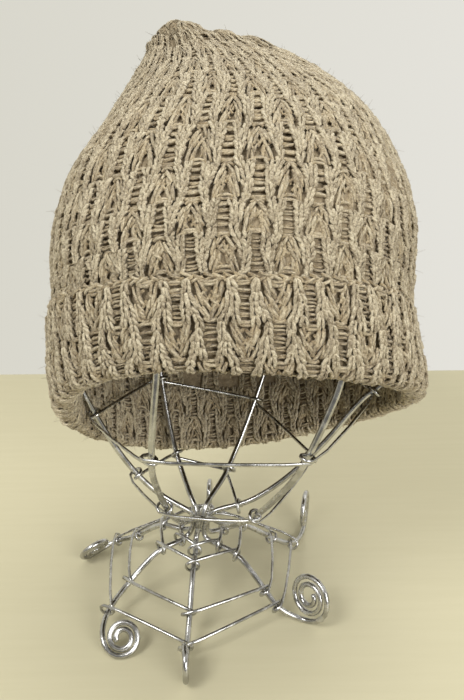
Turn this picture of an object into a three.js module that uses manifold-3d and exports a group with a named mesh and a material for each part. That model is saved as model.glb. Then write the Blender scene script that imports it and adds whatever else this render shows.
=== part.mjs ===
// A knitted beanie with a turned-up cuff, pulled over a free-standing stand of bent aluminium wire.
// Six long wires make the stand. Each one is a spoke of the bowl, runs down the neck, is a leg of the base and
// ends in a scroll foot. One thinner wire winds round the bowl as a web, and four rings tie the legs.
// The cap is tipped back on the spokes: its rim is high in front (-Y) and low behind.
// Millimetres, +Z up. The origin is on the table under the middle of the whole object's box.
import * as THREE from "three";
import { mergeVertices } from "three/addons/utils/BufferGeometryUtils.js";
import Module from "manifold-3d";

const wasm = await Module();
wasm.setup();

// ---- Driving dimensions ---------------------------------------------------------------------------------
const STAND_AT = new THREE.Vector3(-20.2, -17.5, 0); // the stand's axis, from the middle of the object's box
const GAP = 0.3; // between neighbouring pieces

const SPOKE_WIRE = 3.2; // diameters of the two wires
const WEB_WIRE = 2.1;
const FLAT = 0.35; // depth of the flat that each foot has worn where it stands
const NECK_RADIUS = 4.7; // ring on which the six wires stand side by side
const NECK_BOTTOM = 34;
const NECK_TOP = 46;
const PIVOT = new THREE.Vector3(0, 0, 31); // the bowl leans over from the foot of the neck
const LEAN_RIGHT = 7.6; // degrees
const LEAN_FRONT = 2.4;
const BOWL_BASE = 49.1; // a spoke's height is BOWL_BASE + BOWL_LINEAR r + BOWL_SQUARE r^2
const BOWL_LINEAR = -0.04;
const BOWL_SQUARE = 0.0137;

const KNIT = 4.5; // thickness of one layer of the knitting
const HEM = 3.4; // how far the soft fold rolls below the rim
const CUFF_FRONT = 0.2; // share of the crown that the cuff covers in front and behind, along its sections
const CUFF_SIDE = 0.245; // and at its sides, where it is folded up further
const REPEATS = 22; // repeats of the stitch pattern round the cap
const RIB = 1.1; // height of the ribs over the ladders between them
const RIM_WAVE = 3; // the rim rises and falls twice round
const COLUMNS = 4 * REPEATS;
const WALL_ROWS = [0, 0.13, 0.27, 0.42, 0.57, 0.71, 0.84, 0.94]; // sections of the cap's inner wall
const SPOKE_END = 0.85; // how far up the crown the spokes reach, as a share of its height

// The crown's outer surface: one row for each section from the rim to the peak. A section is an ellipse that
// runs from its front point to its back point, with its half width along X and the X of its middle.
const SECTIONS = [
  { frontY: -87, frontZ: 174, backY: 57, backZ: 62, half: 89.5, x: 21.5 },
  { frontY: -84, frontZ: 192, backY: 70, backZ: 78, half: 89.5, x: 21 },
  { frontY: -77, frontZ: 210, backY: 84, backZ: 100, half: 90.5, x: 20 },
  { frontY: -66, frontZ: 229, backY: 99, backZ: 132, half: 92.5, x: 20 },
  { frontY: -50, frontZ: 242, backY: 111, backZ: 166, half: 93, x: 22 },
  { frontY: -27, frontZ: 256, backY: 121, backZ: 204, half: 88.5, x: 23 },
  { frontY: 12, frontZ: 275, backY: 127, backZ: 238, half: 74, x: 25 },
  { frontY: 52, frontZ: 289, backY: 127, backZ: 268, half: 55, x: 20 },
  { frontY: 82, frontZ: 300, backY: 121, backZ: 290, half: 36, x: 9 },
  { frontY: 96, frontZ: 307, backY: 112, backZ: 304, half: 13, x: -8 },
];

// The six wires, from the front left spoke round to the left one. Angles in degrees from the front (-Y) towards
// the right. spoke, bowlTo: the spoke's direction and the radius where it leaves the bowl. wall, from: the angle
// on the cap's inner wall that it then follows, and the share of the crown's height where it meets that wall.
// leg, slack: the leg's direction and what is added to its ring radii. footAngle, footRadius, footHeight: the
// knot where the leg ends.
const WIRES = [
  [-24.5, 74, -24, 0.02, -5, 1, -5, 63, 5.2],
  [29.7, 78, 33, 0.02, 51.5, 1.5, 51.5, 57, 7.8],
  [93.2, 80, 95, 0.1, 113.5, 1.5, 113.5, 64.5, 5.2],
  [153.9, 82, 150, 0.42, 175.5, 0, 175.5, 63.5, 5.2],
  [-149.4, 80, -146, 0.42, -120.5, -1.5, -120.5, 62.5, 5.2],
  [-90.9, 66, -93, 0.1, -62.5, -2.6, -51, 63, 11],
].map(([spoke, bowlTo, wall, from, leg, slack, footAngle, footRadius, footHeight]) => ({
  spoke,
  bowlTo,
  wall,
  from,
  leg,
  slack,
  footAngle,
  footRadius,
  footHeight,
}));

// Radius and height of the base's four rings on the legs.
const RINGS = [
  { radius: 16, height: 31.2 },
  { radius: 28.2, height: 29.9 },
  { radius: 47.2, height: 14.2 },
  { radius: 64.4, height: 4.6 },
];

// Heights of the bowl web's knots in turn. It starts on the right spoke and takes the next spoke each time.
const WEB_START = 2;
const WEB_KNOTS = [51.5, 60, 69, 73.5, 82.5, 74.5, 82, 94, 108.5, 111.5, 121.5, 121.5, 123, 136, 146];

// The scroll feet, in the order of the wires. x, y: the scroll's middle. turn: the way its plane points. lean:
// how far the plane leans over. start: where on the scroll the leg comes in. outer: radius there. shrink: what
// the radius loses in a turn.
const SCROLLS = [
  { x: -5.5, y: -75, turn: 4, lean: 0, start: -90, outer: 10.5, shrink: 4, turns: 2.2 },
  { x: 60.5, y: -35, turn: 42, lean: 12, start: -90, outer: 14.5, shrink: 4.6, turns: 2.4 },
  { x: 68, y: 48, turn: 165, lean: 0, start: -90, outer: 14, shrink: 4.4, turns: 2.4 },
  { x: 5.5, y: 75.5, turn: 176, lean: 0, start: -90, outer: 10.5, shrink: 4, turns: 2.2 },
  { x: -64, y: 18, turn: -50, lean: 35, start: -90, outer: 10.5, shrink: 3.8, turns: 2.1 },
  { x: -39, y: -55, turn: 90, lean: 42, start: -180, outer: 10.5, shrink: 3.6, turns: 2.1 },
];

const OATMEAL = new THREE.MeshStandardMaterial({ color: 0xa89a80, roughness: 0.95, metalness: 0 });
const BRIGHT_WIRE = new THREE.MeshStandardMaterial({ color: 0xc9cac8, roughness: 0.28, metalness: 1 });

// ---- Small helpers --------------------------------------------------------------------------------------
const rad = THREE.MathUtils.degToRad;
const vec = (x, y, z) => new THREE.Vector3(x, y, z);
const polar = (radius, degrees, z) => vec(radius * Math.sin(rad(degrees)), -radius * Math.cos(rad(degrees)), z);

// A smooth value between the rows of a table, at a share t of the way down it.
function smooth(rows, column, t) {
  const at = THREE.MathUtils.clamp(t, 0, 1) * (rows.length - 1);
  const i = Math.min(Math.floor(at), rows.length - 2);
  const f = at - i;
  const p = rows.map((row) => row[column]);
  const before = i > 0 ? p[i - 1] : 2 * p[i] - p[i + 1];
  const after = i + 2 < p.length ? p[i + 2] : 2 * p[i + 1] - p[i];
  const rise = p[i + 1] - p[i];
  const start = (p[i + 1] - before) / 2;
  const end = (after - p[i]) / 2;
  return p[i] + f * (start + f * (3 * rise - 2 * start - end + f * (start + end - 2 * rise)));
}

const leanOver = new THREE.Matrix4()
  .makeTranslation(PIVOT)
  .multiply(new THREE.Matrix4().makeRotationY(rad(LEAN_RIGHT)))
  .multiply(new THREE.Matrix4().makeRotationX(rad(LEAN_FRONT)))
  .multiply(new THREE.Matrix4().makeTranslation(PIVOT.clone().negate()));

// ---- The cap's surface ----------------------------------------------------------------------------------
// The peak is a small dome over the last section.
const PEAK = vec(-8, 104, 310);
const DOME_FROM = 0.985; // the last section stands for the foot of that dome

function crownPoint(t, angle) {
  const s = Math.min(t, 1);
  const [fy, fz, by, bz, half, x] = ["frontY", "frontZ", "backY", "backZ", "half", "x"].map((c) =>
    smooth(SECTIONS, c, s),
  );
  const wave = -RIM_WAVE * Math.sin(2 * angle) * Math.max(0, 1 - 4 * t);
  const middle = vec(x, (fy + by) / 2, (fz + bz) / 2);
  const along = vec(0, (fy - by) / 2, (fz - bz) / 2);
  const up = vec(0, -along.z, along.y).normalize().negate();
  return middle
    .addScaledVector(vec(1, 0, 0), half * Math.sin(angle))
    .addScaledVector(along, Math.cos(angle))
    .addScaledVector(up, wave);
}

// Unit normal of that surface, pointing out of the cap.
function crownNormal(t, angle) {
  const dt = 0.01;
  const da = 0.02;
  const low = Math.min(t, DOME_FROM - dt);
  const round = crownPoint(low, angle + da).sub(crownPoint(low, angle - da));
  const rise = crownPoint(low + dt, angle).sub(crownPoint(low - dt, angle));
  return round.cross(rise).normalize();
}

// Ribs stand up between the ladders of the stitch pattern, two to a repeat.
function ribs(angle) {
  return (-RIB / 2) * (1 + Math.cos(2 * REPEATS * angle));
}

function capPoint(t, angle, out, relief) {
  return crownPoint(t, angle).addScaledVector(crownNormal(t, angle), out + relief * ribs(angle));
}

// A closed shell round the cap. Each station of its outline is a share of the crown's height, an offset out of
// the crown's surface, how much of the ribs it shows and how far it hangs below that share of the height. The
// shares count from the rim to the height given for each angle.
function shell(stations, height) {
  const n = stations.length;
  const outline = stations.map((s, i) => new THREE.Vector2(s.peak === undefined ? 50 : 0, i));
  const geometry = new THREE.LatheGeometry(outline, COLUMNS);
  const position = geometry.getAttribute("position");
  for (let i = 0; i <= COLUMNS; i++) {
    const angle = (-2 * Math.PI * (i % COLUMNS)) / COLUMNS; // the lathe turns clockwise, seen from above
    stations.forEach((s, j) => {
      let p;
      if (s.peak !== undefined) p = PEAK.clone().add(vec(0, 0, s.peak));
      else p = capPoint(s.t * height(angle), angle, s.out, s.relief ?? 0);
      if (s.drop) {
        const along = crownPoint(0.02, angle).sub(crownPoint(0, angle)).normalize();
        p.addScaledVector(along, -s.drop);
      }
      position.setXYZ(i * n + j, p.x, p.y, p.z);
    });
  }
  return geometry;
}

function crownShell() {
  const stations = [{ peak: 0 }];
  for (const t of [0.96, 0.88, 0.79, 0.69, 0.58, 0.47, 0.36, 0.27])
    stations.push({ t, out: 0, relief: 1 });
  stations.push({ t: 0.13, out: 0 });
  stations.push({ t: 0, out: 0 });
  for (const t of WALL_ROWS) stations.push({ t, out: -KNIT });
  stations.push({ peak: -KNIT });
  return shell(stations, () => 1);
}

const cuffTop = (angle) => CUFF_FRONT + (CUFF_SIDE - CUFF_FRONT) * Math.sin(angle) ** 2;

function cuffShell() {
  const inner = GAP + 0.1;
  const outer = inner + KNIT + 0.6;
  const stations = [
    { t: 1, out: inner + 0.2 },
    { t: 1.05, out: inner + 0.45 * KNIT },
    { t: 0.98, out: outer, relief: 0.6 },
    { t: 0.66, out: outer + 0.5, relief: 1 },
    { t: 0.33, out: outer + 0.6, relief: 1 },
    { t: 0.06, out: outer + 0.2, relief: 0.8 },
    { t: 0, out: 0.45 * KNIT, drop: HEM },
    { t: 0, out: -0.7 * KNIT, drop: HEM },
    { t: 0, out: -KNIT, drop: GAP + 0.1 },
    { t: 0, out: inner - 0.1, drop: GAP },
    { t: 0.55, out: inner },
  ];
  return shell([...stations, stations[0]], cuffTop);
}

// ---- The wires ------------------------------------------------------------------------------------------
// A path with one section of wire at each of its points, so that bends get many and straight runs few.
class BentPath extends THREE.Curve {
  constructor(points) {
    super();
    this.points = points;
  }
  getPointAt(u) {
    return this.points[Math.round(u * (this.points.length - 1))].clone();
  }
  getPoint(u) {
    return this.getPointAt(u);
  }
  getTangentAt(u) {
    const i = Math.round(u * (this.points.length - 1));
    const last = this.points.length - 1;
    const before = Math.max(i, 1);
    const after = Math.min(i, last - 1);
    const into = this.points[before].clone().sub(this.points[before - 1]).normalize();
    const from = this.points[after + 1].clone().sub(this.points[after]).normalize();
    return into.add(from).normalize();
  }
}

function wire(points, diameter, sides) {
  const section = new THREE.Shape();
  for (let i = 0; i < sides; i++) {
    const a = (2 * Math.PI * i) / sides;
    const r = diameter / 2;
    if (i) section.lineTo(r * Math.cos(a), r * Math.sin(a));
    else section.moveTo(r, 0);
  }
  return new THREE.ExtrudeGeometry(section, { steps: points.length - 1, extrudePath: new BentPath(points) });
}

// The points of a smooth curve through the given ones, with a number of steps between neighbours.
function through(points, steps) {
  return new THREE.CatmullRomCurve3(points, false, "centripetal").getPoints(steps * (points.length - 1));
}

function bowlPoint(radius, degrees) {
  const height = BOWL_BASE + BOWL_LINEAR * radius + BOWL_SQUARE * radius * radius;
  return polar(radius, degrees, height).applyMatrix4(leanOver);
}

// The way in degrees between a wire's spoke and its leg, where it runs down the neck.
const neckAngle = (w) => (w.spoke + w.leg) / 2 + (Math.abs(w.spoke - w.leg) > 180 ? 180 : 0);

// The stretch of a spoke that lies along the cap's inner wall, from its free end down. It bends where the wall
// does, so the two stay a gap apart all the way.
function wallPoints(w) {
  const clear = -KNIT - GAP - 0.2 - SPOKE_WIRE / 2;
  const rows = WALL_ROWS.filter((t) => t <= SPOKE_END && t > w.from + 0.04).reverse();
  return [...rows, w.from].map((t) => capPoint(t, rad(w.wall), clear, 0));
}

function bowlPoints(w) {
  const points = [0.98, 0.82, 0.64, 0.46, 0.3].map((share) => bowlPoint(share * w.bowlTo, w.spoke));
  return [...points, bowlPoint(11, (w.spoke + neckAngle(w)) / 2)];
}

function legPoints(w) {
  const points = [polar(9, (w.leg + neckAngle(w)) / 2, 31.6)];
  for (const ring of RINGS.slice(0, 3)) points.push(polar(ring.radius + w.slack, w.leg, ring.height));
  points.push(polar(w.footRadius, w.footAngle, w.footHeight));
  return points;
}

function neckPoints(w) {
  return [
    polar(NECK_RADIUS, neckAngle(w), NECK_TOP).applyMatrix4(leanOver),
    polar(NECK_RADIUS, neckAngle(w), NECK_BOTTOM),
  ];
}

function scrollPoints(s) {
  const along = polar(1, s.turn, 0);
  const over = vec(Math.cos(rad(s.turn)), Math.sin(rad(s.turn)), 0);
  const up = over.multiplyScalar(Math.sin(rad(s.lean))).add(vec(0, 0, Math.cos(rad(s.lean))));
  const radiusAt = (degrees) => s.outer - (s.shrink * (degrees - s.start)) / 360;
  const lowest = radiusAt(-90) * Math.cos(rad(s.lean));
  const middle = vec(s.x, s.y, lowest + SPOKE_WIRE / 2 - FLAT);
  const points = [];
  for (let d = s.start; d <= s.start + 360 * s.turns; d += 36) {
    const r = radiusAt(d);
    points.push(
      middle
        .clone()
        .addScaledVector(along, r * Math.cos(rad(d)))
        .addScaledVector(up, r * Math.sin(rad(d))),
    );
  }
  return points;
}

// The whole run of a stand wire, from its end in the crown to the middle of its scroll.
function wirePath(w, i) {
  const wall = wallPoints(w);
  const scroll = scrollPoints(SCROLLS[i]);
  const bends = [wall.at(-1), ...bowlPoints(w), ...neckPoints(w), ...legPoints(w), ...scroll.slice(0, 2)];
  return [...wall.slice(0, -1), ...through(bends, 2).slice(0, -2), ...scroll.slice(1)];
}
const paths = WIRES.map(wirePath);

const WRAP_STEPS = 6; // points in one turn of the thinner wire

// One turn of the thinner wire round a spoke or leg. It comes in from before on the side that outside points to,
// and leaves for after on the same side, a little further out, so that it passes over its own start.
function wrap({ at, direction }, before, after, outside) {
  const run = after.clone().sub(before);
  const u = run.addScaledVector(direction, -run.dot(direction)).normalize();
  const v = direction.clone().cross(u).normalize();
  if (v.dot(outside) < 0) v.negate();
  const arrival = before.equals(at) ? after.clone().sub(at) : at.clone().sub(before);
  const pitch = Math.sign(arrival.dot(direction)) * (WEB_WIRE + GAP + 0.15);
  const reach = (SPOKE_WIRE + WEB_WIRE) / 2 + GAP + 0.55;
  const points = [];
  for (let k = 0; k <= WRAP_STEPS; k++) {
    const share = k / WRAP_STEPS;
    const turn = 2 * Math.PI * share;
    const r = reach + (WEB_WIRE + 2 * GAP) * Math.max(0, (share - 0.5) / 0.5);
    points.push(
      at
        .clone()
        .addScaledVector(v, r * Math.cos(turn))
        .addScaledVector(u, r * Math.sin(turn))
        .addScaledVector(direction, pitch * (share - 0.5)),
    );
  }
  return points;
}

// Where a spoke passes a height, and its direction there, upwards.
function crossing(points, height) {
  for (let i = points.length - 1; i > 0; i--) {
    const low = points[i];
    const high = points[i - 1];
    if (low.z <= height && high.z > height) {
      const at = low.clone().lerp(high, (height - low.z) / (high.z - low.z));
      return { at, direction: high.clone().sub(low).normalize() };
    }
  }
  throw new Error("no point at height " + height);
}

function bowlWeb() {
  const knots = WEB_KNOTS.map((z, i) => crossing(paths[(WEB_START + i) % WIRES.length], z));
  const points = knots.flatMap((knot, i) => {
    const before = knots[Math.max(i - 1, 0)].at;
    const after = knots[Math.min(i + 1, knots.length - 1)].at;
    const outside = knot.at.clone().setZ(0).normalize().add(vec(0, 0, -0.5));
    return wrap(knot, before, after, outside);
  });
  return wire(points, WEB_WIRE, 5);
}

// The place on a path at a distance back from its point i, and the direction back along it there.
function backAlong(path, i, distance) {
  const step = path[i].distanceTo(path[i - 1]);
  if (distance > step) return backAlong(path, i - 1, distance - step);
  const direction = path[i - 1].clone().sub(distance ? path[i] : path[i + 1]).normalize();
  return { at: path[i].clone().lerp(path[i - 1], distance / step), direction };
}

// A ring starts with a turn round the back leg, and ends with another above it.
function baseRing(index) {
  const order = [3, 4, 5, 0, 1, 2, 3];
  const knots = order.map((leg, i) => {
    const at = legPoints(WIRES[leg])[index + 1];
    const onPath = paths[leg].findIndex((p) => p.distanceTo(at) < 0.01);
    return backAlong(paths[leg], onPath, i === order.length - 1 ? 8.6 : 2);
  });
  const points = knots.flatMap((knot, i) => {
    const before = knots[i ? i - 1 : 0].at;
    const after = knots[Math.min(i + 1, knots.length - 1)].at;
    return wrap(knot, before, after, vec(0, 0, 1));
  });
  return wire(points, WEB_WIRE, 5);
}

// ---- Cutting the feet flat ------------------------------------------------------------------------------
function solid(geometry) {
  const bare = geometry.index ? geometry.toNonIndexed() : geometry.clone();
  bare.deleteAttribute("normal");
  bare.deleteAttribute("uv");
  const merged = mergeVertices(bare, 1e-3);
  const triVerts = new Uint32Array(merged.index.array);
  const vertProperties = merged.attributes.position.array;
  return new wasm.Manifold(new wasm.Mesh({ numProp: 3, vertProperties, triVerts }));
}

function geometryOf(body) {
  const mesh = body.getMesh();
  return new THREE.BufferGeometry()
    .setAttribute("position", new THREE.BufferAttribute(new Float32Array(mesh.vertProperties), 3))
    .setIndex(new THREE.BufferAttribute(new Uint32Array(mesh.triVerts), 1));
}

const floor = solid(new THREE.BoxGeometry(400, 400, 20).translate(0, 0, -10));
const standing = (geometry) => geometryOf(solid(geometry).subtract(floor));

// ---- The assembly ---------------------------------------------------------------------------------------
const cap = new THREE.Group();
const stand = new THREE.Group();

function add(group, name, geometry, material) {
  const mesh = new THREE.Mesh(geometry, material);
  mesh.name = name;
  group.add(mesh);
}

add(cap, "crown", crownShell(), OATMEAL);
add(cap, "cuff", cuffShell(), OATMEAL);
paths.forEach((path, i) => {
  add(stand, "stand_wire_" + (i + 1), standing(wire(path, SPOKE_WIRE, 6)), BRIGHT_WIRE);
});
add(stand, "bowl_web", bowlWeb(), BRIGHT_WIRE);
RINGS.forEach((_, i) => add(stand, "base_ring_" + (i + 1), baseRing(i), BRIGHT_WIRE));

const object = new THREE.Group();
object.add(cap, stand);
object.position.copy(STAND_AT);
export default object;
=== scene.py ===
"""A ribbed wool beanie with a turned-up cuff, on a stand of bent aluminium wire."""

import math

import bmesh
import bpy
import numpy as np
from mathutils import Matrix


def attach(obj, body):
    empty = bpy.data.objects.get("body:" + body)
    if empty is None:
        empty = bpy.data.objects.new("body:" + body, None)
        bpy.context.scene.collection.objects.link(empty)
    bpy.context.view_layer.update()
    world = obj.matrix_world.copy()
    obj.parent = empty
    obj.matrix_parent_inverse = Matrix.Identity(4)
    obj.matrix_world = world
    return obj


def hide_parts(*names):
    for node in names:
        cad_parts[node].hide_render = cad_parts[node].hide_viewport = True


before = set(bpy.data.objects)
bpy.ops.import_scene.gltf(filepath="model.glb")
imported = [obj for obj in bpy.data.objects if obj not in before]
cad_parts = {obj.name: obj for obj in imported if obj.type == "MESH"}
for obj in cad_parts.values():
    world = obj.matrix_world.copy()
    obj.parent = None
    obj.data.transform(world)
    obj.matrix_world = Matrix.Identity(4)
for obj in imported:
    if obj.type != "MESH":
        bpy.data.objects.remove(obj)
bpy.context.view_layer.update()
chance = np.random.default_rng(11)  # every draw comes from here, in a fixed order

MM = 0.001

# ---- Camera -------------------------------------------------------------------------------------------------
LOOKS_DOWN, LOOKS_RIGHT = 20.995, 1.385  # degrees
camera_data = bpy.data.cameras.new("camera")
camera_data.lens = 36
camera_data.sensor_width = 36
camera = bpy.data.objects.new("camera", camera_data)
camera.location = (-0.009133, -0.359343, 0.277646)
camera.rotation_euler = (math.radians(90 - LOOKS_DOWN), 0, math.radians(-LOOKS_RIGHT))
bpy.context.collection.objects.link(camera)
bpy.context.scene.camera = camera


# ---- Finishes -----------------------------------------------------------------------------------------------
class Socket:
    """The output of a node. Sums and products of sockets add Math nodes to their tree."""

    def __init__(self, nodes, socket):
        self.nodes, self.socket = nodes, socket

    def beside(self, name):
        """Another output of the same node."""
        return Socket(self.nodes, self.socket.node.outputs[name])

    def __add__(self, other):
        return self.nodes.maths("ADD", self, other)

    def __radd__(self, other):
        return self.nodes.maths("ADD", other, self)

    def __sub__(self, other):
        return self.nodes.maths("SUBTRACT", self, other)

    def __rsub__(self, other):
        return self.nodes.maths("SUBTRACT", other, self)

    def __mul__(self, other):
        return self.nodes.maths("MULTIPLY", self, other)

    def __rmul__(self, other):
        return self.nodes.maths("MULTIPLY", other, self)

    def part(self, low, high, curve="SMOOTHSTEP"):
        """Runs from 0 where the socket is low to 1 where it is high."""
        reach = {"Value": self, "From Min": low, "From Max": high}
        return self.nodes.add("ShaderNodeMapRange", {"interpolation_type": curve}, reach)


class Nodes:
    """A tree of shader nodes."""

    def __init__(self, tree):
        self.tree = tree

    def add(self, kind, settings=None, sockets=None, output=0):
        """A node of that kind: its settings are set first, then its sockets' values or links."""
        node = self.tree.nodes.new(kind)
        for name, value in (settings or {}).items():
            if name == "stops":
                ramp = node.color_ramp
                while len(ramp.elements) < len(value):
                    ramp.elements.new(0.5)
                for element, (place, colour) in zip(ramp.elements, value):
                    element.position, element.color = place, (*colour, 1)
            else:
                setattr(node, name, value)
        for name, value in (sockets or {}).items():
            if isinstance(value, Socket):
                self.tree.links.new(value.socket, node.inputs[name])
            else:
                node.inputs[name].default_value = value
        return Socket(self, node.outputs[output])

    def maths(self, operation, *values):
        """A Math node on these sockets and numbers."""
        return self.add("ShaderNodeMath", {"operation": operation}, dict(enumerate(values)))

    def places(self):
        """Coordinates that stay with the object, in metres."""
        return self.add("ShaderNodeTexCoord", output="Object")

    def noise(self, at, scale, detail, roughness):
        sockets = {"Vector": at, "Scale": scale, "Detail": detail, "Roughness": roughness}
        return self.add("ShaderNodeTexNoise", {}, sockets)

    def mix(self, share, a, b, blend="MIX"):
        """Two colours mixed."""
        settings = {"data_type": "RGBA", "blend_type": blend}
        return self.add("ShaderNodeMix", settings, {0: share, 6: a, 7: b}, output=2)

    def ramp(self, value, stops):
        return self.add("ShaderNodeValToRGB", {"stops": stops}, {"Fac": value})

    def bump(self, height, distance, strength):
        sockets = {"Height": height, "Distance": distance, "Strength": strength}
        return self.add("ShaderNodeBump", {}, sockets)


class Finish(Nodes):
    """A material made of nodes, with one Principled shader."""

    def __init__(self, name, **constants):
        self.material = bpy.data.materials.new(name)
        self.material.use_nodes = True
        super().__init__(self.material.node_tree)
        self.shader = self.tree.nodes["Principled BSDF"]
        for socket, value in constants.items():
            self.shader.inputs[socket.replace("_", " ")].default_value = value

    def feed(self, **sockets):
        """Links sockets of the shader."""
        for name, value in sockets.items():
            self.tree.links.new(value.socket, self.shader.inputs[name.replace("_", " ")])
        return self.material


PLIES = 2
LAY = 0.7  # turns that the plies and fibres make round the yarn from one end of a strand to the other
SHADE_PAINTED_DEEP = (0.80, 0.73, 0.62, 1)  # painted shade: what is left of the colour where the yarn lies deep in the knitting


def wool_yarn(name, light, mid, dark):
    """Heathered wool. Its plies and fibres wind along the yarn. Where it lies deep in the knitting its colour
    is painted darker, as painted shade."""
    finish = Finish(name, Roughness=0.93, Specular_IOR_Level=0.15, Sheen_Weight=0.2, Sheen_Roughness=0.5)
    shade = finish.add("ShaderNodeAttribute", {"attribute_name": "shade"}, output="Fac")
    depth = finish.add("ShaderNodeAttribute", {"attribute_name": "depth"}, output="Fac")
    u = finish.add("ShaderNodeSeparateXYZ", {}, {0: finish.add("ShaderNodeUVMap", {"uv_map": "UVMap"})})
    wound = u.beside("Y") + u * LAY
    # Fibres are long along the yarn and fine across it, and each strand's own shade sets it apart.
    lay = finish.add("ShaderNodeCombineXYZ", {}, {0: u * 2.6, 1: wound * 7, 2: shade * 43})
    fibres = finish.noise(lay, 1.8, 4, 0.75)
    plies = finish.maths("SINE", wound * (PLIES * 2 * math.pi)) * 0.5 + 0.5
    heather = finish.noise(finish.places(), 1150, 3, 0.7)
    tone = fibres * 0.56 + heather * 0.56 + plies * 0.08 + shade * 0.14 - 0.17
    colour = finish.ramp(tone, [(0.34, dark), (0.50, mid), (0.66, light)])
    # Painted shade: the colour is multiplied darker where the depth attribute says the yarn lies deep.
    deep = finish.mix(1.0, colour, SHADE_PAINTED_DEEP, "MULTIPLY")
    relief = finish.bump(fibres * 0.8 + heather * 0.6 + plies * 0.4, 0.6 * MM, 1.0)
    return finish.feed(Base_Color=finish.mix(depth.part(0.2, 0.95), deep, colour), Normal=relief)


def wool_ground(name, light, dark):
    """The felted ground behind the open stitches: purl bumps in rows, its colour painted darker than the
    yarn's, as painted shade of the yarn over it.
    """
    finish = Finish(name, Roughness=0.96, Specular_IOR_Level=0.1)
    at = finish.places()
    hairs = finish.noise(at, 1500, 3, 0.6)
    loops = finish.noise(at, 330, 1, 0.5)
    colour = finish.ramp(hairs * 0.5 + loops * 0.5, [(0.3, dark), (0.7, light)])
    return finish.feed(Base_Color=colour, Normal=finish.bump(hairs * 0.4 + loops, 1.2 * MM, 0.9))


def drawn_aluminium(name):
    """Bright soft wire, drawn through a die and then bent by hand, with faint tool marks."""
    finish = Finish(name, Metallic=1.0)
    at = finish.places()
    marks = finish.noise(at, 160, 2, 0.6)
    drawn = finish.noise(at, 1900, 2, 0.5)
    colour = finish.ramp(marks, [(0.35, (0.40, 0.395, 0.38)), (0.62, (0.62, 0.615, 0.60))])
    rough = marks.part(0.4, 0.75) * 0.16 + drawn * 0.1 + 0.15
    relief = finish.bump(marks * 0.7 + drawn * 0.3, 0.15 * MM, 0.5)
    return finish.feed(Base_Color=colour, Roughness=rough, Normal=relief)


def pale_table(name):
    """A pale matt table top with a faint long grain."""
    finish = Finish(name, Roughness=0.55, Specular_IOR_Level=0.3)
    stretched = {"Vector": finish.places(), "Scale": (2.0, 30.0, 1.0)}
    grain = finish.noise(finish.add("ShaderNodeMapping", {}, stretched), 6, 4, 0.6)
    colour = finish.ramp(grain, [(0.3, (0.585, 0.54, 0.365)), (0.7, (0.605, 0.56, 0.385))])
    return finish.feed(Base_Color=colour)


yarn_finish = wool_yarn(
    "oatmeal_wool", light=(0.765, 0.68, 0.49), mid=(0.51, 0.43, 0.29), dark=(0.21, 0.162, 0.102)
)
# The ground's colours are painted shade: the same wool, painted darker.
ground_painted_shade_finish = wool_ground("wool_ground_painted_shade", light=(0.43, 0.35, 0.23), dark=(0.19, 0.145, 0.09))
wire_finish = drawn_aluminium("drawn_aluminium")

# ---- The cap's face -----------------------------------------------------------------------------------------
# The cap's outer face: front y, z, back y, z, half width and middle x of each section from rim to peak, in mm.
SECTIONS = np.array(
    [
        (-87, 174, 57, 62, 89.5, 21.5),
        (-84, 192, 70, 78, 89.5, 21),
        (-77, 210, 84, 100, 90.5, 20),
        (-66, 229, 99, 132, 92.5, 20),
        (-50, 242, 111, 166, 93, 22),
        (-27, 256, 121, 204, 88.5, 23),
        (12, 275, 127, 238, 74, 25),
        (52, 289, 127, 268, 55, 20),
        (82, 300, 121, 290, 36, 9),
        (96, 307, 112, 304, 13, -8),
    ],
    float,
)
STAND_AT = np.array([-20.2, -17.5, 0])  # the sections are measured from the stand's axis
PEAK = np.array([-8, 104, 310])
PEAK_WAY = np.array([-0.1, 0.25, 0.96])  # the way out of the cap at its peak
DOME = 0.08  # the share past 1 in which the crown closes over the last section
RIM_WAVE = 3  # mm that the rim rises and falls, twice round
# The crown is drawn in under the peak, with a soft collar below that: share of its height, spread, mm.
NECK_AT, NECK_SPREAD, NECK_IN = 0.955, 0.016, 4.8
COLLAR_AT, COLLAR_SPREAD, COLLAR_OUT = 0.91, 0.022, 2.2


def section(share):
    """The section that far up the crown, smooth between the rows of the table."""
    t = np.clip(share, 0, 1) * (len(SECTIONS) - 1)
    i = np.minimum(t.astype(int), len(SECTIONS) - 2)
    f = (t - i)[..., None]
    rows = np.vstack([2 * SECTIONS[0] - SECTIONS[1], SECTIONS, 2 * SECTIONS[-1] - SECTIONS[-2]])
    p0, p1, p2, p3 = rows[i], rows[i + 1], rows[i + 2], rows[i + 3]
    a, b, r = (p2 - p0) / 2, (p3 - p1) / 2, p2 - p1
    return p1 + f * (a + f * (3 * r - 2 * a - b + f * (a + b - 2 * r)))


def closing(share):
    """The angle over the dome: 0 up to the last section, and a right angle at the peak."""
    return (np.clip((share - 1) / DOME, 0, 1) * math.pi / 2)[..., None]


def face(share, angle):
    """A point on the crown's outer face, in mm. The angle is 0 in front and grows towards +X."""
    front_y, front_z, back_y, back_z, half, x = np.moveaxis(section(share), -1, 0)
    wave = -RIM_WAVE * np.sin(2 * angle) * np.maximum(0, 1 - 4 * share)
    ay, az = (front_y - back_y) / 2, (front_z - back_z) / 2
    n = np.hypot(ay, az)
    middle = np.stack([x, (front_y + back_y) / 2, (front_z + back_z) / 2], -1)
    y, z = ay * np.cos(angle) + wave * az / n, az * np.cos(angle) - wave * ay / n
    ring = np.stack([half * np.sin(angle), y, z], -1)
    over = closing(share)
    return middle + ring * np.cos(over) + (PEAK - middle) * np.sin(over) + STAND_AT


def unit(v):
    return v / np.maximum(np.linalg.norm(v, axis=-1, keepdims=True), 1e-9)


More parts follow.
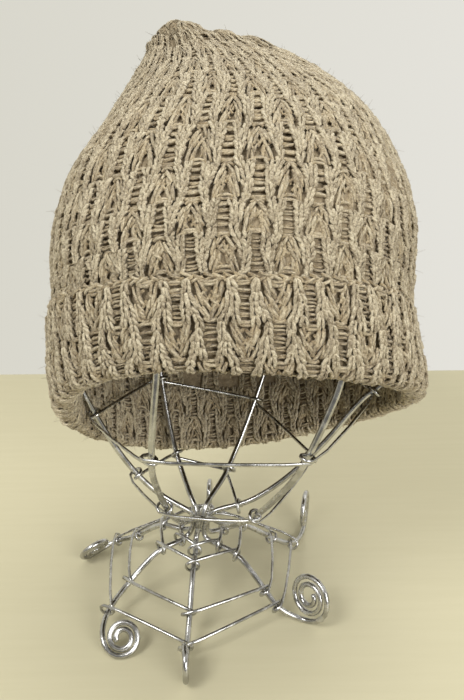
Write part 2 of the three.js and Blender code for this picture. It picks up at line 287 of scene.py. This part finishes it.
def outward(share, angle):
    """The direction out of the cap, and the direction up along it."""
    t = np.clip(share, 0, 0.975)
    along = face(t, angle + 0.02) - face(t, angle - 0.02)
    up = unit(face(t + 0.01, angle) - face(np.maximum(t - 0.01, 0), angle))
    out = unit(np.cross(along, up))
    over = closing(share)
    return unit(out * np.cos(over) + PEAK_WAY * np.sin(over)), up


def swell(share, at, spread):
    """A smooth ring round the crown, 1 high at that share of its height."""
    return np.exp(-(((share - at) / spread) ** 2))


def folds(share, angle):
    """How far the soft crown stands out of its even face, in mm: slack folds, and gathers round the peak."""
    high = np.clip((share - 0.72) / 0.22, 0, 1)
    long_folds = 1.1 * np.sin(3 * angle + 9 * share) * np.sin(7 * share + 0.6)
    slack = long_folds + 0.7 * np.sin(5 * angle - 14 * share + 1)
    gathers = 1.5 * high * np.sin(9 * angle + 1.9 + 2.5 * share)
    collar = COLLAR_OUT * swell(share, COLLAR_AT, COLLAR_SPREAD)
    neck = collar - NECK_IN * swell(share, NECK_AT, NECK_SPREAD)
    return slack * np.clip(share / 0.25 - 0.8, 0, 1) * (1 - 0.5 * high) + gathers * (share < 1.0) + neck


def arc_table(angle):
    """Lengths in mm up the crown at that angle, and the shares of its height that they reach."""
    shares = np.linspace(0, 1 + DOME, 420)
    points = face(shares, np.full_like(shares, angle))
    return np.concatenate([[0], np.cumsum(np.linalg.norm(np.diff(points, axis=0), axis=1))]), shares


FRONT_ARC, BACK_ARC = arc_table(0), arc_table(math.pi)


def share_at(front_mm, back_mm, angle):
    """The share of the crown's height at a length up its front and its back, eased round between them."""
    w = (1 - np.cos(angle)) / 2
    return np.interp(front_mm, *FRONT_ARC) * (1 - w) + np.interp(back_mm, *BACK_ARC) * w


# ---- The knitting's map -------------------------------------------------------------------------------------
COLUMNS = 44  # ladders and tents round the cap
BANDS = 10  # bands of the pattern up the crown
CROWN_ROWS = 5  # rows in one band, on the crown and on the cuff
CUFF_ROWS = 5
FRONT_BANDS = [36, 51.5, 66.5, 88, 116, 144, 171, 197, 222, 246, 268]  # mm up the front to each band's start
BACK_BANDS = [34 + 26 * k for k in range(9)] + [267, 286]  # and up the back
LAST_ROW = 49.2  # no strand goes past it, because the columns meet at the peak

GROUND = 2.2  # mm from the ground sheet to the yarn's usual face
SUNK = 1.0  # mm that the usual face lies inside the crown's even one
CUFF_OUT = 2.1  # mm from the crown's face to the cuff's ground sheet
INSIDE = -2.6  # and to the inner ground sheet
CUFF_ROW = 3.1  # mm in one row of the cuff
CUFF_DEEP = 34  # mm of knitting from the cuff's free edge down to the fold
HEM_ARC = 13.6  # mm of knitting that goes round the hem
HEM_DROP = 0.72  # depth of that fold, as a share of a round one's
LINING_GAIN = 1.1  # mm up the cap for each mm of lining
CUFF_TOP, CUFF_TOP_SIDES = 0.2, 0.045  # share of the crown that the cuff covers, and what its sides add
EDGE_IN, EDGE_IN_RIGHT = 2.0, 2.4  # mm that the free edge is drawn in, and what its right side adds
HEM_IN_LEFT = 2.2  # mm that the hem is drawn in at the left
HITCH, HITCH_AT = 6.6, 1.6  # mm that the hem is hitched up, and the angle where that is highest


def on_crown(row, column, high):
    """A point of the crown's knitting: rows go up from the cuff, and high is in mm over the ground sheet."""
    angle = column * (2 * math.pi / COLUMNS)
    bands, starts = row / CROWN_ROWS, range(BANDS + 1)
    share = share_at(np.interp(bands, starts, FRONT_BANDS), np.interp(bands, starts, BACK_BANDS), angle)
    out, _ = outward(share, angle)
    return face(share, angle) + out * (high - GROUND - SUNK + folds(share, angle))[..., None]


def on_cuff(row, column, high):
    """A point of the cuff's knitting: rows go down from its free edge, round the hem and up inside the cap."""
    angle = column * (2 * math.pi / COLUMNS)
    right, left = np.maximum(0, np.sin(angle)), np.maximum(0, -np.sin(angle))
    top = CUFF_TOP + CUFF_TOP_SIDES * np.sin(angle) ** 2
    v = CUFF_DEEP - CUFF_ROW * row  # mm of knitting up from the fold
    hem = np.clip(-v / HEM_ARC, 0, 1) * math.pi
    inner = np.maximum(-v - HEM_ARC, 0) * LINING_GAIN
    share = np.where(v > 0, top * v / CUFF_DEEP, share_at(inner, inner, angle))
    out, up = outward(share, angle)
    middle, radius = (CUFF_OUT + INSIDE) / 2, (CUFF_OUT - INSIDE) / 2
    edge_in = (EDGE_IN + EDGE_IN_RIGHT * right**2) * np.clip((v - 10) / (CUFF_DEEP - 10), 0, 1)
    hem_in = HEM_IN_LEFT * left * np.clip(1 - v / 14, 0, 1)
    reach = middle + (radius + high) * np.cos(hem) - edge_in - hem_in
    hitched = HITCH * np.maximum(0, np.cos(angle - HITCH_AT)) ** 1.5 * np.clip(1 - v / CUFF_DEEP, 0, 1)
    drop = (radius + high) * np.sin(hem) * HEM_DROP - hitched
    return face(share, angle) + out * reach[..., None] - up * drop[..., None]


# ---- The stitches -------------------------------------------------------------------------------------------
# Where a rib lies: bands down from its top, and columns from the middle of its ladder.
RIB_AT = ([0, 0.5, 1, 1.15, 1.35, 1.6, 2], [0.26, 0.31, 0.36, 0.45, 0.53, 0.57, 0.58])
RIB_LONG = 1.72  # bands
# One leg of a V stitch, from its open end down to where the legs meet: stitches up, mm across, mm out and
# thickness.
V_AHEAD = np.array([1.0, 0.5, -0.15, -0.55])
V_ACROSS = np.array([1.2, 1.2, 0.7, 0.15])
V_LIFT = np.array([-0.3, 1.0, 1.0, -0.4])
V_THICK = np.array([0.8, 1.05, 1.05, 0.6])
V_YARN = 0.78  # mm, radius
SLACK_YARN = 0.8
RUNG_PAIR, RUNG_BEHIND = 0.36, 0.5  # rows from one rung of a pair to the other, and the mm it lies deeper
SHOULDERS = (0.04, 0.2, 0.36)  # bands down from the top of a ladder
# The slack stitches of half a tent: top and its distance from the middle, foot and its distance, and how deep.
TENT_STITCHES = (
    (1.00, 0.00, 0.66, 0.25, 0.0),
    (0.93, 0.10, 0.60, 0.33, 0.1),
    (0.84, 0.00, 0.48, 0.20, 0.3),
    (0.88, 0.24, 0.45, 0.40, 0.0),
    (0.70, 0.06, 0.36, 0.27, 0.3),
    (0.66, 0.20, 0.28, 0.37, 0.1),
    (0.52, 0.10, 0.20, 0.22, 0.4),
    (0.50, 0.26, 0.10, 0.40, 0.05),
    (0.34, 0.18, -0.02, 0.30, 0.3),
    (0.74, 0.22, 0.50, -0.05, 0.5),
    (0.46, 0.30, 0.26, 0.10, 0.5),
)
TENT_BARS = ((0.03, 0.34), (0.12, 0.26), (0.97, 0.2))  # bands up from the foot of a tent, and half length


def jitter(spread, *shape):
    return chance.normal(0, spread, shape)


class Knitting:
    """One stretch of the pattern. Every ladder has a rib of V stitches on each side. Below the ladder the two
    ribs spread like the legs of a tent, down beside the ladders of the next band. In each group of strands, r,
    c and h are the rows, columns and heights of their points."""

    def __init__(self, place, rows, first_column, stitch, columns=range(COLUMNS)):
        self.place, self.rows, self.first, self.columns = place, rows, first_column, list(columns)
        self.stitch = stitch  # rows from one V stitch to the next

    def width(self, row, column):
        """The local width of one column in mm."""
        flat = np.full(np.broadcast(row, column).shape, GROUND)
        apart = self.place(row, column + 0.02, flat) - self.place(row, column - 0.02, flat)
        return np.linalg.norm(apart, axis=-1) / 0.04

    def height(self, row, column):
        """The local height of one row in mm."""
        flat = np.full(np.broadcast(row, column).shape, GROUND)
        apart = self.place(row + 0.3, column, flat) - self.place(row - 0.3, column, flat)
        return np.linalg.norm(apart, axis=-1) / 0.6

    def ladders(self, band, every):
        """The columns that are ladders in that band; the others are tents."""
        found = [k for k in self.columns if (k + band) % 2 == 0]
        return np.array(found[::every], float)

    def size(self, row, column):
        """Yarn is drawn in where the columns are crowded round the peak."""
        return np.clip(self.width(row, column) / 10.5, 0.3, 1.0)

    def strand(self, r, c, h, radius):
        return self.place(np.minimum(r, LAST_ROW), c, h), radius, h

    def ribs(self, bands, every=1, lowest=-99.0, highest=99.0):
        """The V stitches of the ribs: two legs to a stitch."""
        strands = []
        for band in bands:
            column = self.ladders(band, every)
            for hand in (-1, 1):
                top = self.rows * (band + 1) + 0.15
                steps = np.arange(0.4, RIB_LONG * self.rows, self.stitch)
                row, middle = (x.ravel() for x in np.meshgrid(top - steps, column, indexing="ij"))
                shown = (row > lowest) & (row < highest)
                row, middle = row[shown, None], middle[shown, None]
                n = len(row)
                r = row + V_AHEAD * self.stitch * (1 + jitter(0.1, n, 1)) + jitter(0.08, n, 1)
                c = middle + hand * np.interp((top - r) / self.rows, *RIB_AT) + self.first
                c = c + 0.025 * np.sin(1.3 * r + 2.4 * middle + hand)
                pitch = self.width(row, middle + self.first)
                size = self.size(row, middle + self.first)
                for leg in (-1, 1):
                    wide = V_ACROSS * size * (1 + jitter(0.12, n, 1))
                    at = c + (leg * wide + jitter(0.16, n, 1) + jitter(0.1, n, 4)) / pitch
                    h = GROUND + V_LIFT * size + jitter(0.22, n, 1) + jitter(0.08, n, 4)
                    radius = V_YARN * V_THICK * size**0.7 * (1 + jitter(0.1, n, 1))
                    strands.append(self.strand(r, at, h, radius))
        return strands

    def bars(self, bands, every=1):
        """All the purl bars of these bands."""
        strands = []
        for band in bands:
            strands += [*self.rungs(band, every), *self.shoulders(band, every)]
        return strands

    def rungs(self, band, every):
        """The rungs of the ladders, two to a row, hanging a little between their ribs."""
        s = np.linspace(-1, 1, 4)
        step = np.sort(np.concatenate([np.arange(self.rows), np.arange(self.rows) + RUNG_PAIR]))
        row, column = np.meshgrid(step, self.ladders(band, every), indexing="ij")
        behind = np.where(row % 1 > RUNG_PAIR / 2, RUNG_BEHIND, 0.0).ravel()[:, None]
        row, column = row.ravel()[:, None] + self.rows * band + 0.35, column.ravel()[:, None]
        n = len(row)
        size = self.size(row, column + self.first)
        reach = np.interp(band + 1 - row / self.rows, *RIB_AT) - 0.02
        r = row + 0.05 - 0.2 * (1 - s**2) * (1 + jitter(0.6, n, 1)) + jitter(0.07, n, 1)
        r = r + s * jitter(0.09, n, 1)
        c = column + self.first + s * reach
        h = GROUND - (0.7 + behind) * size + 0.6 * size * (1 - s**2) + jitter(0.2, n, 1)
        thick = np.clip(0.19 * self.height(row, column + self.first), 0.5, 0.95)
        yield self.strand(r, c, h, thick * size * (1 + jitter(0.12, n, 1)) * np.ones_like(s))

    def shoulders(self, band, every):
        """The short purl bars that fill the shoulder between a ladder and the tent beside it."""
        s = np.linspace(-1, 1, 4)[1:]
        column = self.ladders(band, every)[:, None] + self.first
        n = len(column)
        for hand in (-1, 1):
            for down in SHOULDERS:
                r = self.rows * (band + 1 - down) + 0.2 * s + jitter(0.12, n, 1)
                c = column + hand * (0.52 + (0.15 - 0.1 * down) * s + jitter(0.015, n, 1))
                h = GROUND - 0.35 + 0.5 * (1 - s**2) + jitter(0.2, n, 1)
                yield self.strand(r, c, h, SLACK_YARN * self.size(r[:, :1], column) * np.ones_like(r))

    def tents(self, bands, every=1):
        """The slack stitches between a tent's legs, which leave a small hole low in the middle."""
        strands = []
        f = np.linspace(0, 1, 4)
        s = np.linspace(-1, 1, 4)
        for band in bands:
            column = self.ladders(band + 1, every)[:, None] + self.first
            n = len(column)
            for hand in (-1, 1):
                for top, start, foot, end, sunk in TENT_STITCHES:
                    r = (top + (foot - top) * f + band) * self.rows + jitter(0.16, n, 1)
                    c = column + hand * (start + (end - start) * f + jitter(0.025, n, 1))
                    c = c + (f - 0.5) * jitter(0.06, n, 1)
                    size = self.size(r[:, :1], column)
                    h = GROUND + (1.0 * np.sin(f * math.pi) - 0.7 - sunk) * size + jitter(0.25, n, 1)
                    radius = SLACK_YARN * size * (1 + jitter(0.12, n, 1)) * np.ones_like(f)
                    strands.append(self.strand(r, c, h, radius))
            for foot, reach in TENT_BARS:
                r = (band + foot) * self.rows + 0.25 * (1 - s**2) + jitter(0.12, n, 1)
                size = self.size(r[:, :1], column)
                h = GROUND - 0.6 + 0.6 * (1 - s**2) + jitter(0.15, n, 1)
                strands.append(self.strand(r, column + s * reach, h, SLACK_YARN * size * np.ones_like(r)))
        return strands


# ---- Making the pieces --------------------------------------------------------------------------------------
SHORTEST = 0.15  # mm: a strand with a shorter stretch than this is left out
DEEP, PROUD = 1.9, 1.0  # mm under and over the usual face where depth is 0 and 1; depth sets how much painted shade the yarn gets


def object_of(name, mesh, finish, stands_for=()):
    """A finished piece of the object, riding on its one body."""
    thing = bpy.data.objects.new(name, mesh)
    bpy.context.collection.objects.link(thing)
    mesh.materials.clear()
    mesh.materials.append(finish)
    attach(thing, "root")
    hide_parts(*stands_for)
    return thing


def yarns(name, strands, round_steps=0):
    """All these strands as round yarn in one mesh, which remembers how deep each lies, which sets its painted
    shade, and its own shade of colour, drawn at random.
    """
    curve = bpy.data.curves.new(name, "CURVE")
    curve.dimensions = "3D"
    curve.bevel_depth = MM
    curve.bevel_resolution = round_steps
    depth, shade = [], []
    for points, radii, high in strands:
        whole = np.linalg.norm(np.diff(points, axis=1), axis=-1).min(1) > SHORTEST
        radii = np.broadcast_to(radii, points.shape[:2])[whole]
        high = np.broadcast_to(high, points.shape[:2])[whole]
        points = points[whole]
        tint = np.repeat(chance.uniform(0, 1, (len(points), 1)), points.shape[1], 1)
        depth.append(np.clip((high - GROUND + DEEP) / (DEEP + PROUD), 0, 1).ravel())
        shade.append(tint.ravel())
        for line, thick in zip(points * MM, radii):
            spline = curve.splines.new("POLY")
            spline.points.add(len(line) - 1)
            spline.points.foreach_set("co", np.column_stack([line, np.ones(len(line))]).ravel())
            spline.points.foreach_set("radius", np.ascontiguousarray(thick))
    holder = bpy.data.objects.new(name + "_lines", curve)
    bpy.context.collection.objects.link(holder)
    mesh = bpy.data.meshes.new_from_object(holder.evaluated_get(bpy.context.evaluated_depsgraph_get()))
    bpy.data.objects.remove(holder)
    bpy.data.curves.remove(curve)
    for label, values in (("depth", depth), ("shade", shade)):
        values = np.concatenate(values)
        each = len(mesh.vertices) // len(values)
        mesh.attributes.new(label, "FLOAT", "POINT").data.foreach_set("value", np.repeat(values, each))
    mesh.shade_smooth()
    object_of(name, mesh, yarn_finish)


def hairs(name, stretches):
    """The wool's loose hairs: short bent fibres that stand off the yarn."""
    strands = []
    for place, count, rows in stretches:
        row = chance.uniform(*rows, count)
        column = chance.uniform(0, COLUMNS, count)
        root = place(row, column, np.full(count, GROUND + 0.3))
        out = unit(place(row, column, np.full(count, GROUND + 1.3)) - root)
        lean, bend = (unit(jitter(1, count, 3)) for _ in range(2))
        long = chance.gamma(4, 0.6, count)[:, None]
        f = np.array([0, 0.45, 1.0])
        line = [root + long * (out * 0.55 * x + lean * 0.6 * x + bend * 0.45 * x * x) for x in f]
        high = np.full((count, 3), GROUND + 1.0)
        strands.append((np.stack(line, 1), np.array([0.09, 0.07, 0.03]), high))
    yarns(name, strands)


def sheet(name, place, rows, high, thick, stands_for):
    """A closed tube of cloth over a stretch of the knitting, with a thickness to its inner side. Its height
    over the knitting's map comes from high, a table of rows and heights."""
    made = bmesh.new()
    bmesh.ops.create_grid(made, x_segments=3 * COLUMNS, y_segments=len(rows) - 1, size=1)
    made.verts.ensure_lookup_table()
    uv = np.array([v.co[:2] for v in made.verts])
    row = np.interp((uv[:, 1] + 1) / 2 * (len(rows) - 1), range(len(rows)), rows)
    column = (uv[:, 0] + 1) / 2 * COLUMNS
    points = place(row, column, np.interp(row, *high)) * MM
    for vertex, point in zip(made.verts, points):
        vertex.co = point
    bmesh.ops.remove_doubles(made, verts=made.verts, dist=1e-6)
    mesh = bpy.data.meshes.new(name)
    made.to_mesh(mesh)
    made.free()
    mesh.shade_smooth()
    thing = object_of(name, mesh, ground_painted_shade_finish, stands_for=[stands_for])
    wall = thing.modifiers.new("thickness", "SOLIDIFY")
    wall.thickness, wall.offset = thick * MM, -1


# ---- The cap ------------------------------------------------------------------------------------------------
PATTERN_AT, CUFF_AT = 0.56, 0.1  # columns from the middle of the front to the pattern's first ladder
CROWN_STITCH, CUFF_STITCH = 0.65, 0.85
BOTTOM = -1.5  # the crown's knitting goes a little way down behind the cuff
HEM_ROW = 13  # the cuff's rows end and the lining's start here, under the fold

crown = Knitting(on_crown, CROWN_ROWS, PATTERN_AT, CROWN_STITCH)
cuff = Knitting(on_cuff, CUFF_ROWS, CUFF_AT, CUFF_STITCH)
half = COLUMNS // 2
for name, columns in (("crown_ribs_right", range(half)), ("crown_ribs_left", range(half, COLUMNS))):
    side = Knitting(on_crown, CROWN_ROWS, PATTERN_AT, CROWN_STITCH, columns)
    yarns(name, side.ribs(range(9), lowest=BOTTOM) + side.ribs([9], 2), round_steps=1)
yarns("crown_ladders", crown.bars(range(9)) + crown.bars([9], 2))
yarns("crown_tents", crown.tents(range(8)) + crown.tents([8], 2))
yarns("cuff_ribs", cuff.ribs(range(3), lowest=-0.2, highest=HEM_ROW), round_steps=1)
yarns("cuff_ladders", cuff.bars(range(3)) + cuff.tents(range(3)))
yarns("lining_ribs", cuff.ribs(range(2, 6), lowest=HEM_ROW))
yarns("lining_ladders", cuff.bars(range(3, 6)) + cuff.tents(range(3, 5)))

# The cuff's free edge: a chain of loops that lies along it.
LOOPS = 3 * COLUMNS
loop = COLUMNS / LOOPS
c = (np.arange(LOOPS) * loop)[:, None]
s = np.linspace(-0.35, 1.0, 5)
edge = []
for hand in (-1, 1):
    r = -0.1 + hand * (0.3 - 0.45 * s) + jitter(0.12, LOOPS, 1)
    h = GROUND - 1.0 + 1.0 * np.sin((s + 0.35) / 1.35 * math.pi) + jitter(0.25, LOOPS, 1)
    edge.append((on_cuff(r, c + s * loop * 0.8 + jitter(0.04, LOOPS, 1), h), 0.7 * np.ones_like(r), h))
yarns("cuff_edge", edge, round_steps=1)

hairs("crown_hairs", [(on_crown, 2500, (0, 34)), (on_crown, 500, (34, 45))])
hairs("cuff_hairs", [(on_cuff, 1500, (-0.3, 14))])

# The ground sheets are real cloth under the stitches, in colours painted dark as painted shade.
whole_crown, whole_cuff = list(np.linspace(-4, CROWN_ROWS * BANDS, 76)), list(np.linspace(46, 0.2, 50))
sheet("crown_ground", on_crown, whole_crown, high=([41, 47], [0.2, 1.7]), thick=1.1, stands_for="crown")
sheet("cuff_ground", on_cuff, whole_cuff, high=([0], [0]), thick=0.5, stands_for="cuff")

# ---- The wire stand -----------------------------------------------------------------------------------------
STAND_WIRE, WEB_WIRE = 1.6 * MM, 1.05 * MM  # radii
ROUND_GAIN = 0.16  # share of its radius that a section would lose when it is rounded
WORN_FLAT = 0.4 * MM  # what lies lower than this is a foot's worn flat, and stays


def round_wire(node, radius):
    """The bent wire with a round section, made from a copy of its faceted one."""
    made = bmesh.new()
    made.from_mesh(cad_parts[node].data)
    bmesh.ops.remove_doubles(made, verts=made.verts, dist=1e-6)
    bmesh.ops.join_triangles(made, faces=made.faces, angle_face_threshold=0.9, angle_shape_threshold=3.1)
    made.normal_update()
    for vertex in made.verts:
        if vertex.co.z > WORN_FLAT:
            vertex.co += vertex.normal * radius * ROUND_GAIN
    mesh = bpy.data.meshes.new(node + "_round")
    made.to_mesh(mesh)
    made.free()
    mesh.shade_smooth()
    wire = object_of(node + "_round", mesh, wire_finish, [node])
    smooth = wire.modifiers.new("round", "SUBSURF")
    smooth.levels = smooth.render_levels = 1


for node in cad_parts:
    if node.startswith("stand_wire"):
        round_wire(node, STAND_WIRE)
    elif node.startswith(("bowl", "base")):
        round_wire(node, WEB_WIRE)

# ---- Table, room and light ----------------------------------------------------------------------------------
TABLE = [(-3, -0.3, 0), (3, -0.3, 0), (3, 0.3, 0), (-3, 0.3, 0)]
made = bmesh.new()
made.faces.new([made.verts.new(corner) for corner in TABLE])
mesh = bpy.data.meshes.new("table")
made.to_mesh(mesh)
made.free()
table = bpy.data.objects.new("table", mesh)
bpy.context.collection.objects.link(table)
mesh.materials.append(pale_table("pale_table"))

world = bpy.data.worlds.new("studio")
world.use_nodes = True
studio = Nodes(world.node_tree)
way = studio.add("ShaderNodeSeparateXYZ", {}, {0: studio.add("ShaderNodeTexCoord", output="Generated")})
wall = studio.mix(way.part(-0.3, 0.35, "LINEAR"), (0.69, 0.675, 0.60, 1), (0.78, 0.765, 0.71, 1))
# A dim room behind the camera, and the pale wall behind the cap.
room = studio.mix(way.beside("Y").part(-0.75, 0.15), (0.24, 0.235, 0.22, 1), wall)
studio.tree.links.new(room.socket, studio.tree.nodes["Background"].inputs["Color"])
bpy.context.scene.world = world

LIT = np.array([0, 0, 0.15])  # where the lights point


def soft_light(name, place, size, power):
    data = bpy.data.lights.new(name, "AREA")
    data.shape, data.size, data.energy = "DISK", size, power
    light = bpy.data.objects.new(name, data)
    light.location = place
    x, y, z = LIT - np.array(place)
    light.rotation_euler = (math.atan2(math.hypot(x, y), -z), 0, math.atan2(-x, y))
    bpy.context.collection.objects.link(light)


soft_light("key", (-0.8, -0.9, 1.3), 0.7, 15)
soft_light("window", (0.9, -1.5, 0.7), 1.0, 21)
soft_light("top", (0.4, 0.3, 1.8), 1.2, 8)

bpy.context.scene.view_settings.view_transform = "Standard"
